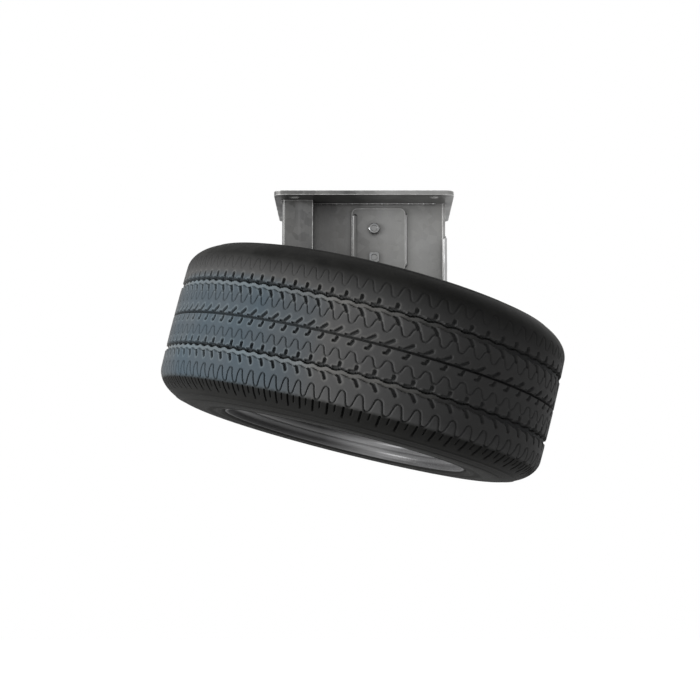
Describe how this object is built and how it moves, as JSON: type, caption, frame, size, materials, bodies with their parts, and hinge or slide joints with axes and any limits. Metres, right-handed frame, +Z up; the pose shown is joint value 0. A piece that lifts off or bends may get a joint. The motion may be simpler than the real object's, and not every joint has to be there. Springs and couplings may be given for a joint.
{
  "type": "spare tire carrier",
  "caption": "Under-chassis spare tyre carrier: a folded hanger, a tilting arm with a bolt lock, and a spare wheel drawn up onto its seat by a long centre screw with a cross handle.",
  "frame": {"origin": "middle of the hanger's upper face, where it meets the chassis", "axes": "+Z up, the pivot bolt along Y, the wheel's high side towards -X and its low side towards +X"},
  "size_m": [0.5564, 0.539, 0.3877],
  "materials": {
    "galvanised_steel": "hot-dip galvanised, matt grey with a faint spangle",
    "zinc_plated_steel": "bright zinc plate, slightly dulled",
    "wheel_silver": "satin silver wheel paint",
    "tyre_rubber": "dull black rubber with dusty grooves",
    "valve_rubber": "black moulded rubber",
    "black_plastic": "black moulded plastic"
  },
  "bodies": {
    "hanger": {"top_plate": "galvanised_steel", "front_hanger": "galvanised_steel", "rear_hanger": "galvanised_steel", "front_doubler": "galvanised_steel", "rear_doubler": "galvanised_steel", "left_tie": "galvanised_steel", "right_tie": "galvanised_steel", "pivot_sleeve": "zinc_plated_steel", "pivot_bolt": "zinc_plated_steel", "pivot_washers": "zinc_plated_steel", "pivot_nut": "zinc_plated_steel", "lock_spacer": "zinc_plated_steel", "lock_bolt": "zinc_plated_steel", "lock_washer": "zinc_plated_steel", "lock_nut": "zinc_plated_steel"},
    "arm": {"tilt_arm": "galvanised_steel", "wheel_seat": "galvanised_steel", "hub_spigot": "galvanised_steel", "index_pins": "zinc_plated_steel", "screw_boss": "zinc_plated_steel"},
    "wheel": {"tyre": "tyre_rubber", "rim": "wheel_silver", "wheel_disc": "wheel_silver", "valve_stem": "valve_rubber", "valve_cap": "black_plastic", "clamp_plate": "zinc_plated_steel", "thrust_washer": "zinc_plated_steel"},
    "screw": {"clamp_screw": "zinc_plated_steel", "handle_bar": "zinc_plated_steel", "handle_knobs": "black_plastic"}
  },
  "joints": [
    {"name": "arm_tilt", "type": "hinge", "parent": "hanger", "child": "arm", "pos_m": [0.014, 0, -0.043], "axis": [0, 1, 0], "range_deg": [-14, 14]},
    {"name": "wheel_lower", "type": "slide", "parent": "arm", "child": "wheel", "axis": [-0.2419, 0, -0.9703], "range_m": [0, 0.13]},
    {"name": "screw_turn", "type": "hinge", "parent": "wheel", "child": "screw", "pos_m": [-0.0014, 0, -0.22879], "axis": [-0.2419, 0, -0.9703], "range_deg": [0, 11709]}
  ],
  "couplings": [
    {"joint": "screw_turn", "follows": "wheel_lower", "rad_per_m": 1570.8}
  ]
}
